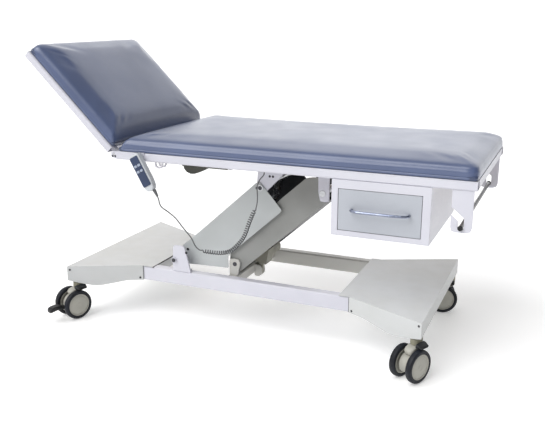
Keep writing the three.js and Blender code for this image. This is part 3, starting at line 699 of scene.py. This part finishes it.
def wrap_ring(name, length, width, depth, near_corner, far_corner, place):
    """The cover's margin, pulled down over the edge of the board: a thin closed band round it."""
    bm = bmesh.new()
    profile = ((0.0030, 0.0016), (0.0008, 0.0014), (0.0, -0.001), (0.0, -depth * 0.7), (0.0018, -depth),
               (0.0068, -depth), (0.0071, -depth * 0.5), (0.0071, -0.0006))
    rings = pad_rings(length, width, profile, near_corner, far_corner)
    skins = [add_ring(bm, [place @ p for p in ring]) for ring in rings]
    skin_rings(bm, skins, closed=True)
    return new_object(name, bm, 40)


# Pad sections: inset from the plan and height above the board.
MAIN_SECTION = (
    (0.0016, -LIP), (0.0004, -0.004), (0.0010, 0.004), (0.0022, 0.010), (0.0010, 0.016),
    (0.0006, 0.022), (0.0030, 0.029), (0.0090, 0.0360), (0.0200, 0.0415), (0.0380, 0.0455),
    (0.0640, 0.0480), (0.1040, 0.0498), (0.160, 0.0506), (0.26, 0.0510),
)
BACK_SECTION = (
    (0.0016, -LIP), (0.0004, -0.004), (0.0006, 0.004), (0.0008, 0.010), (0.0006, 0.016),
    (0.0030, 0.023), (0.0090, 0.031), (0.0210, 0.0380), (0.0400, 0.0440), (0.0700, 0.0485),
    (0.1100, 0.0512), (0.15, 0.0522), (0.19, 0.0528), (0.22, 0.053),
)
# The back pad and its board, from the hinge's axis.
BACK_START = 0.031
BACK_LENGTH = 0.5000
BACK_BASE = 0.0236
BOARD_START = 0.032
BOARD_LENGTH = 0.488
BACK_MARGIN_DEPTH = 0.0116
# Greatest height above the board at a distance from the hinge end.
MAIN_SLOPE = ((0, 0.001), (0.010, 0.016), (0.032, 0.043), (0.05, 0.06))
BACK_SLOPE = (
    (0, 0.003), (0.005, 0.012), (0.017, 0.0225), (0.033, 0.041), (0.055, 0.050), (0.075, 0.06),
)


def add_main_cushion(materials):
    main_low, main_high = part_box("main_cushion")
    length = main_high.x - main_low.x
    width = main_high.y - main_low.y
    middle = (main_low.y + main_high.y) / 2
    main = pad_body("main_pad", length, width, MAIN_SECTION, 0.012, 0.034, MAIN_SLOPE)
    stuff(main, length, width)
    crease(main, 0.0012, 0.0090, 0.0215, width, length)
    pull_creases(main, [(length, width / 2), (length, -width / 2)], 0.0004)
    place = Matrix.Translation((main_low.x, middle, main_low.z))
    main.data.transform(place)
    finish_piece(main, "top", materials["vinyl_blue"], ["main_cushion"])
    board_low, board_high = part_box("main_board")
    wrap = wrap_ring("main_pad_margin", board_high.x - board_low.x + 2 * MARGIN,
                     board_high.y - board_low.y + 2 * MARGIN, main_low.z - board_low.z - 0.0004,
                     0.009, 0.012, place @ Matrix.Translation((-MARGIN, 0, 0)))
    # The margin gets the darker vinyl: painted shade.
    finish_piece(wrap, "top", materials["vinyl_wrap_shaded"])


def add_back_cushion(materials):
    main_low, main_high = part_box("main_cushion")
    board_low, board_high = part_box("main_board")
    width = main_high.y - main_low.y
    middle = (main_low.y + main_high.y) / 2
    hinge = JOINTS["back_tilt"]["pos_m"]
    rise = math.radians(BACK_RISE)
    along = Vector((-math.cos(rise), 0, math.sin(rise)))
    out = Vector((math.sin(rise), 0, math.cos(rise)))
    across = out.cross(along)
    turn = Matrix((along, across, out)).transposed().to_4x4()
    origin = Vector((hinge[0], middle, hinge[2])) + along * BACK_START + out * BACK_BASE
    place = Matrix.Translation(origin) @ turn
    back = pad_body("back_pad", BACK_LENGTH, width, BACK_SECTION, 0.014, 0.030, BACK_SLOPE)
    stuff(back, BACK_LENGTH, width)
    corners = [(BACK_LENGTH, width / 2), (BACK_LENGTH, -width / 2), (0, width / 2), (0, -width / 2)]
    pull_creases(back, corners, 0.0003)
    back.data.transform(place)
    finish_piece(back, "back", materials["vinyl_blue"], ["back_cushion"])
    wrap = wrap_ring("back_pad_margin", BOARD_LENGTH + 2 * MARGIN,
                     board_high.y - board_low.y + 2 * MARGIN, BACK_MARGIN_DEPTH, 0.009, 0.012,
                     place @ Matrix.Translation((BOARD_START - BACK_START - MARGIN, 0, 0)))
    # The margin gets the darker vinyl: painted shade.
    finish_piece(wrap, "back", materials["vinyl_wrap_shaded"])


# ---------- casters ----------

# Turned parts: radius and height along the axis, from one end to the other.
TYRE = (
    (0.0462, -0.0105), (0.0500, -0.0118), (0.0545, -0.0116), (0.0578, -0.0098), (0.0595, -0.0062),
    (0.0600, -0.0018), (0.0600, 0.0018), (0.0595, 0.0062), (0.0578, 0.0098), (0.0545, 0.0116),
    (0.0500, 0.0118), (0.0462, 0.0105),
)
DISC = (
    (0, 0.0116), (0.0100, 0.0114), (0.0108, 0.0106), (0.0122, 0.0106), (0.0130, 0.0112), (0.0260, 0.0104),
    (0.0385, 0.0088), (0.0402, 0.0078), (0.0414, 0.0084), (0.0428, 0.0106), (0.0446, 0.0110),
    (0.0457, 0.0098), (0.0459, -0.0095), (0.0440, -0.0108), (0.0405, -0.0104), (0.0380, -0.0060),
    (0.0250, -0.0050), (0.0190, -0.0105), (0, -0.0110),
)
HUB = (
    (0, -0.0215), (0.0300, -0.0215), (0.0360, -0.0195), (0.0370, -0.0140), (0.0335, -0.0080),
    (0.0325, 0.0), (0.0335, 0.0080), (0.0370, 0.0140), (0.0360, 0.0195), (0.0300, 0.0215), (0, 0.0215),
)
COLLAR = (
    (0, 0.0635), (0.0190, 0.0635), (0.0210, 0.0648), (0.0216, 0.0690), (0.0217, 0.0850), (0.0210, 0.0862),
    (0.0196, 0.0868), (0.0196, 0.0884), (0.0216, 0.0890), (0.0219, 0.0940), (0.0205, 0.0962),
    (0.0120, 0.0966), (0, 0.0966),
)
# How far the stem stands behind the wheels' axle.
STEM_BACK = -0.030
# The neck: x0, x1, half width, corner radius and height of each section.
NECK = (
    (-0.020, 0.014, 0.0150, 0.008, 0.0360), (-0.032, 0.017, 0.0178, 0.010, 0.0420),
    (-0.042, 0.019, 0.0188, 0.012, 0.0500), (-0.0480, 0.014, 0.0190, 0.014, 0.0570),
    (-0.0492, 0.000, 0.0190, 0.0165, 0.0620), (-0.0490, -0.0110, 0.0186, 0.0180, 0.0634),
)
# The hood over the outer wheel: y, x0, x1, low and high of each section.
HOOD = (
    (0.0224, -0.046, 0.004, 0.0625, 0.0785), (0.0300, -0.046, 0.004, 0.0625, 0.0770),
    (0.0380, -0.044, 0.002, 0.0625, 0.0730), (0.0430, -0.042, -0.001, 0.0625, 0.0705),
    (0.0450, -0.036, -0.006, 0.0640, 0.0695),
)


def add_turned(name, profile, place, steps, smooth_angle, body, material, replaced):
    bm = bmesh.new()
    lathe(bm, profile, place, steps)
    finish_piece(new_object(name, bm, smooth_angle), body, material, replaced)


def add_wheel(corner, side, materials):
    node = f"{corner}_{side}_wheel"
    joint = JOINTS[f"{corner}_{side}_spin"]
    axis = Vector(joint["axis"]) * (1 if side == "outer" else -1)
    hub = Vector(JOINTS[f"{corner}_swivel"]["pos_m"])
    centre = Vector(joint["pos_m"])
    if (centre + axis * 0.01 - hub).length < (centre - axis * 0.01 - hub).length:
        axis = -axis
    place = axis_place(centre, axis)
    add_turned(f"{node}_tyre", TYRE, place, 72, 40, node, materials["tyre_black"], [node])
    add_turned(f"{node}_disc", DISC, place, 64, 28, node, materials["caster_grey"], [node])


def add_neck(body, node, place, materials):
    bm = bmesh.new()
    rings = []
    for x0, x1, half, radius, height in NECK:
        outline = rounded(x1 - x0, half * 2, radius, 6)
        shift = (x0 + x1) / 2
        rings.append(add_ring(bm, [place @ Vector((x + shift, y, height)) for x, y in outline]))
    closed_skin(bm, rings)
    neck = new_object(f"{body}_neck", bm, 60)
    finish_piece(neck, body, materials["caster_grey"], [node])


def add_hood(body, node, place, side, materials):
    bm = bmesh.new()
    rings = []
    for y, x0, x1, low, high in HOOD:
        rings.append(add_ring(bm, [
            place @ Vector((x + (x0 + x1) / 2, side * y, z + (low + high) / 2))
            for x, z in rounded(x1 - x0, high - low, 0.006, 5)
        ]))
    closed_skin(bm, rings)
    hood = new_object(f"{body}_hood", bm, 50)
    finish_piece(hood, body, materials["black_plastic"], [node])


def add_caster(corner, materials):
    inner = Vector(JOINTS[f"{corner}_inner_spin"]["pos_m"])
    outer = Vector(JOINTS[f"{corner}_outer_spin"]["pos_m"])
    stem = Vector(JOINTS[f"{corner}_swivel"]["pos_m"])
    centre = (inner + outer) / 2
    trail = centre - stem
    trail.z = 0
    trail.normalize()
    body = f"{corner}_caster"
    node = f"{corner}_caster_fork"
    upright = axis_place(centre, (0, 0, 1), trail)
    above_stem = upright @ Matrix.Translation((STEM_BACK, 0, 0))
    outward = 1 if (upright.to_3x3() @ Vector((0, 1, 0))).dot(outer - inner) > 0 else -1
    add_turned(f"{body}_hub", HUB, axis_place(centre, outer - inner), 56, 30, body,
               materials["caster_grey"], [node])
    add_turned(f"{body}_collar", COLLAR, above_stem, 56, 30, body,
               materials["caster_collar"], [node])
    add_neck(body, node, upright, materials)
    add_hood(body, node, upright, outward, materials)
    if corner.startswith("head"):
        add_pedal(corner, upright, materials)
    for side in ("inner", "outer"):
        add_wheel(corner, side, materials)


# The brake pedal: x, half width, low and high of each section.
PEDAL = (
    (0.043, 0.007, -0.017, -0.001), (0.058, 0.009, -0.014, 0.004), (0.066, 0.0135, -0.010, 0.0075),
    (0.078, 0.0155, -0.009, 0.0085), (0.098, 0.0158, -0.011, 0.0070), (0.1085, 0.0150, -0.0135, 0.0035),
    (0.1125, 0.0120, -0.0140, -0.0010),
)


def add_pedal(corner, place, materials):
    """Brake lever: an arm between the wheels that ends in a ribbed foot plate."""
    bm = bmesh.new()
    rings = []
    for x, half, low, high in PEDAL:
        outline = rounded(half * 2, high - low, min(0.0045, (high - low) / 2.2), 4)
        mid = (low + high) / 2
        rings.append(add_ring(bm, [place @ Vector((x, y, z + mid)) for y, z in outline]))
    closed_skin(bm, rings)
    for k in range(5):
        x = 0.074 + k * 0.0066
        top = 0.0083 - k * 0.0008
        rib = rounded(0.0026, 0.024, 0.0012, 3)
        prism(bm, rib, top - 0.002, top + 0.0012, place @ Matrix.Translation((x, 0, 0)))
    pedal = new_object(f"{corner}_pedal", bm, 45)
    body = f"{corner}_pedal"
    finish_piece(pedal, body, materials["black_plastic"], [f"{corner}_brake_pedal"])


# ---------- screws, pins and small parts ----------

def screw(bm, point, direction, radius=0.0045, height=0.0024):
    """A domed socket-head screw that stands on a face at point."""
    place = axis_place(point, direction)
    lathe(bm, (
        (0, -0.0002), (radius, -0.0002), (radius, height * 0.35), (radius * 0.86, height * 0.8),
        (radius * 0.6, height), (radius * 0.45, height), (radius * 0.42, height * 0.45), (0, height * 0.4),
    ), place, 20)


def washer_bolt(bm, point, direction, radius=0.008, height=0.005):
    """A hexagon-head bolt on a washer."""
    place = axis_place(point, direction)
    washer = ((0, -0.0002), (radius, -0.0002), (radius, 0.0011), (radius * 0.95, 0.0014), (0, 0.0014))
    lathe(bm, washer, place, 28)
    reach = radius * 0.72
    hexagon = [(reach * math.cos(k * math.pi / 3), reach * math.sin(k * math.pi / 3)) for k in range(6)]
    prism(bm, hexagon, 0.0013, height, place)


def pin_head(bm, point, direction, radius=0.0112, height=0.0068):
    """A turned pivot-pin head with a chamfered rim and a dished face."""
    place = axis_place(point, direction)
    lathe(bm, (
        (0, -0.0002), (radius, -0.0002), (radius, height * 0.75), (radius * 0.9, height),
        (radius * 0.62, height), (radius * 0.5, height * 0.72), (radius * 0.2, height * 0.66),
        (0, height * 0.66),
    ), place, 36)


def fasteners(name, body, material, items, maker=screw):
    """One piece for a group of like fasteners: each item is a point, a direction, a radius and a height."""
    bm = bmesh.new()
    for point, direction, *size in items:
        maker(bm, point, direction, *size)
    return finish_piece(new_object(name, bm, 30), body, material)


SIDES = (-1, 1)
# The covers' slanted sides run between these x and y, in mm; a screw is a share of that run and a height.
SKIRTS = {"head_cover": (-443, -722), "foot_cover": (438, 736)}
SKIRT_Y = (231.8, 368.5)
SKIRT_SCREWS = ((0.045, 186), (0.962, 224))
# Where the black strips of painted shade go: at the covers' joints with the rails and along the head
# cover's inner edge.
GAP_SHADE_Y = 231.9
GAP_SHADE_Z = 207
GAP_SHADE_HEIGHT = 0.0575
EDGE_SHADE_Z = 235.4
EDGE_SHADE_LENGTH = 0.4636


def skirt_point(node, side, share, height):
    """A point on a cover's slanted side and its outward direction."""
    x0, x1 = SKIRTS[node]
    y0, y1 = SKIRT_Y
    point = at(x0 + (x1 - x0) * share, side * (y0 + (y1 - y0) * share), height)
    run = Vector((x1 - x0, side * (y1 - y0), 0)).normalized()
    out = Vector((run.y, -run.x, 0))
    return point, out if out.y * side > 0 else -out


def add_cover_details(materials):
    """The covers' screws, and black strips of painted shade: in the gaps where the covers meet the rails,
    and along the head cover's inner edge.
    """
    screws = []
    gap_shade_bm = bmesh.new()
    for node, (joint_x, _) in SKIRTS.items():
        for side in SIDES:
            for share, height in SKIRT_SCREWS:
                screws.append((*skirt_point(node, side, share, height), 0.0044, 0.0020))
            # A thin black strip on the rail face at the cover's joint: the painted shadow of the gap.
            face = at(joint_x, side * GAP_SHADE_Y, GAP_SHADE_Z)
            prism(gap_shade_bm, rounded(0.0018, GAP_SHADE_HEIGHT, 0.0008, 2), 0, 0.0006,
                  axis_place(face, (0, side, 0), (1, 0, 0)))
    # A black strip on the head cover's inner end: painted shade under that edge.
    edge_shade_place = Vector((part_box("head_cover")[1].x, MIDDLE_Y, at(0, 0, EDGE_SHADE_Z).z))
    prism(gap_shade_bm, rounded(0.0046, EDGE_SHADE_LENGTH, 0.001, 2), 0, 0.0012,
          axis_place(edge_shade_place, (1, 0, 0), (0, 0, 1)))
    fasteners("cover_screws", "base", materials["screw_dark"], screws)
    gap_shade_piece = new_object("cover_gap_painted_shade", gap_shade_bm, 40)
    finish_piece(gap_shade_piece, "base", materials["black_plastic"])


def on_both_sides(x, y, z, radius, height):
    """The same fastener on the front and on the rear, facing outwards."""
    return [(at(x, side * y, z), Vector((0, side, 0)), radius, height) for side in SIDES]


def add_base_fasteners(dark):
    fasteners("upright_screws", "base", dark, on_both_sides(-240, 229.5, 318, 0.0055, 0.003))
    x, z = HEAD_PIVOT
    fasteners("head_arm_pins", "base", dark, on_both_sides(x, 236.5, z, 0.0084, 0.0022),
              pin_head)
    x, z = FOOT_PIVOT
    fasteners("foot_arm_pins", "base", dark, on_both_sides(x, 182, z, 0.0084, 0.0022),
              pin_head)


def add_arm_fasteners(dark):
    """Screws along the upper arm, placed along and above its line of pivots, and its upper pin."""
    rise = math.radians(ARM_RISE)
    items = []
    for side in SIDES:
        out = Vector((0, side, 0))
        for along, up in ((54, 2), (470, 8)):
            x = HEAD_PIVOT[0] + along * math.cos(rise) - up * math.sin(rise)
            z = HEAD_PIVOT[1] + along * math.sin(rise) + up * math.cos(rise)
            items.append((at(x, side * 187.5, z), out, 0.0056, 0.003))
        items.append((at(TOP_PIVOT[0], side * 191.5, TOP_PIVOT[1]), out, 0.0082, 0.002))
    fasteners("upper_arm_screws", "upper_arm", dark, items)


def add_top_fasteners(dark, black):
    hinge_bolts = [
        (at(x, side * 356.1, 714), Vector((0, side, 0)), 0.0040, 0.0024)
        for side in SIDES for x in (-476, -464)
    ]
    fasteners("top_screws", "top", dark, hinge_bolts, washer_bolt)
    plate_screws = [
        (at(x, side * 183, 650), Vector((0, side, 0)), 0.0048, 0.0011)
        for side in SIDES for x in (101, 114)
    ]
    fasteners("arm_plate_screws", "top", dark, plate_screws)
    knobs = on_both_sides(836, 356, 578.9, 0.0088, 0.006)
    fasteners("roll_bar_knobs", "roll", black, knobs, pin_head)


def add_drawer_gap_shade(materials):
    """Black ring in the gap between the drawer front and its opening: the painted shadow of the gap."""
    low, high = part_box("drawer_front")
    bm = bmesh.new()
    y0, y1 = low.y + 0.0018, low.y + 0.0045
    rings = []
    for grow, y in ((0.0003, y0), (0.0012, y0), (0.0012, y1), (0.0003, y1)):
        outline = rounded(high.x - low.x + 2 * grow, high.z - low.z + 2 * grow, 0.0015, 2)
        cx, cz = (low.x + high.x) / 2, (low.z + high.z) / 2
        rings.append(add_ring(bm, [Vector((x + cx, y, z + cz)) for x, z in outline]))
    skin_rings(bm, rings, closed=True)
    finish_piece(new_object("drawer_gap_painted_shade", bm, 40), "top", materials["black_plastic"])


# ---------- carried-over CAD nodes ----------

# For each finish: the edge radius in metres, then the nodes that get it.
ROUNDED_NODES = {
    "frame_white": (
        0.0014, "front_rail", "front_head_arm_upright", "rear_head_arm_upright", "top_frame", "back_frame",
        "drawer_cabinet", "front_roll_bracket", "rear_roll_bracket", "handset_hook",
    ),
    # These parts get the frame paint in painted shade.
    "rail_painted_shade": (
        0.0014, "rear_rail", "head_caster_beam", "foot_caster_beam", "pivot_cross_tube",
        "front_foot_arm_bracket", "rear_foot_arm_bracket",
    ),
    "cover_grey": (0.0009, "head_cover", "foot_cover"),
    # The arms carry painted shade: near-black on their insides, and the lower arm's paint darker overall.
    "arm_grey": (0.0009, "upper_arm"),
    "lower_arm": (0.0009, "lower_arm"),
    "drawer_grey": (0.0012, "drawer_front", "drawer_box"),
    "motor_olive": (0.0022, "back_motor_housing"),
    "lift_motor": (0.0022, "lift_motor_housing"),
    "black_plastic": (0.0015, "cord_gland"),
    "steel_rod": (
        0.0007, "head_arm_shaft", "foot_arm_shaft", "lift_motor_rod", "back_motor_rod", "back_hinge_rod",
    ),
    "chrome": (0.0006, "drawer_handle"),
    "bar_steel": (0.0006, "roll_bar"),
    "control_grey": (0.003, "control_box"),
    "board_tan": (0.0008, "main_board", "back_board"),
    "handset_grey": (0.004, "handset_body"),
    "keypad_blue": (0.0005, "handset_keypad"),
    "key_grey": (0.0006, "back_up_button", "back_down_button", "lift_up_button", "lift_down_button"),
    "cord_grey": (0.0005, "handset_strain_relief"),
}


def dress_nodes(materials):
    """Finish and edge radii of the CAD nodes that stay."""
    for finish, (radius, *names) in ROUNDED_NODES.items():
        for name in names:
            node = NODES[name]
            for slot in node.material_slots:
                slot.material = materials[finish]
            weld = node.modifiers.new("weld", "WELD")
            weld.merge_threshold = 1e-5
            flat = node.modifiers.new("flat_faces", "DECIMATE")
            flat.decimate_type = "DISSOLVE"
            flat.angle_limit = math.radians(0.6)
            soften(node, radius)


# ---------- floor and light ----------

def add_floor():
    bm = bmesh.new()
    bmesh.ops.create_grid(bm, x_segments=2, y_segments=2, size=30)
    floor = new_object("floor", bm)
    s = Shader("floor_paper", 0.9, specular=0.1)
    s.set(s.bsdf, **{"Emission Color": (1, 1, 1, 1), "Emission Strength": 0.3})
    tone = s.mix(s.between(s.noise(0.6, 3), 0.3, 0.7), (0.93, 0.93, 0.93, 1), (0.9, 0.9, 0.9, 1))
    floor.data.materials.append(s.colour(tone))


def light_range(tree, value, low, high, to_low, to_high):
    node = tree.nodes.new("ShaderNodeMapRange")
    for key, number in (("From Min", low), ("From Max", high), ("To Min", to_low), ("To Max", to_high)):
        node.inputs[key].default_value = number
    tree.links.new(value, node.inputs["Value"])
    return node


def add_world():
    """White surroundings, brightest behind the table and dimmer past its foot end."""
    world = bpy.data.worlds.new("studio")
    bpy.context.scene.world = world
    world.use_nodes = True
    tree = world.node_tree
    background = tree.nodes["Background"]
    background.inputs["Color"].default_value = (1, 1, 1, 1)
    direction = tree.nodes.new("ShaderNodeTexCoord").outputs["Generated"]
    split = tree.nodes.new("ShaderNodeSeparateXYZ")
    tree.links.new(direction, split.inputs[0])
    behind = light_range(tree, split.outputs["Y"], 0.2, 0.95, 0.5, 1.55)
    behind.interpolation_type = "SMOOTHSTEP"
    foot_end = light_range(tree, split.outputs["X"], -0.2, 0.9, 1.0, 0.3)
    level = tree.nodes.new("ShaderNodeMath")
    level.operation = "MULTIPLY"
    tree.links.new(behind.outputs[0], level.inputs[0])
    tree.links.new(foot_end.outputs[0], level.inputs[1])
    tree.links.new(level.outputs[0], background.inputs["Strength"])


def add_key_light():
    sun = bpy.data.lights.new("key", "SUN")
    sun.energy = 2.1
    sun.angle = math.radians(50)
    key = bpy.data.objects.new("key", sun)
    bpy.context.scene.collection.objects.link(key)
    key.matrix_world = axis_place(Vector((-2, -3, 4)), (-0.5, -0.72, 0.95))


add_camera()
MATERIALS = make_materials()
add_cord(MATERIALS)
add_main_cushion(MATERIALS)
add_back_cushion(MATERIALS)
for corner_name in CASTERS:
    add_caster(corner_name, MATERIALS)
add_cover_details(MATERIALS)
add_base_fasteners(MATERIALS["screw_dark"])
add_arm_fasteners(MATERIALS["screw_dark"])
add_top_fasteners(MATERIALS["screw_dark"], MATERIALS["black_plastic"])
add_drawer_gap_shade(MATERIALS)
dress_nodes(MATERIALS)
add_floor()
add_world()
add_key_light()
bpy.context.scene.view_settings.view_transform = "Standard"
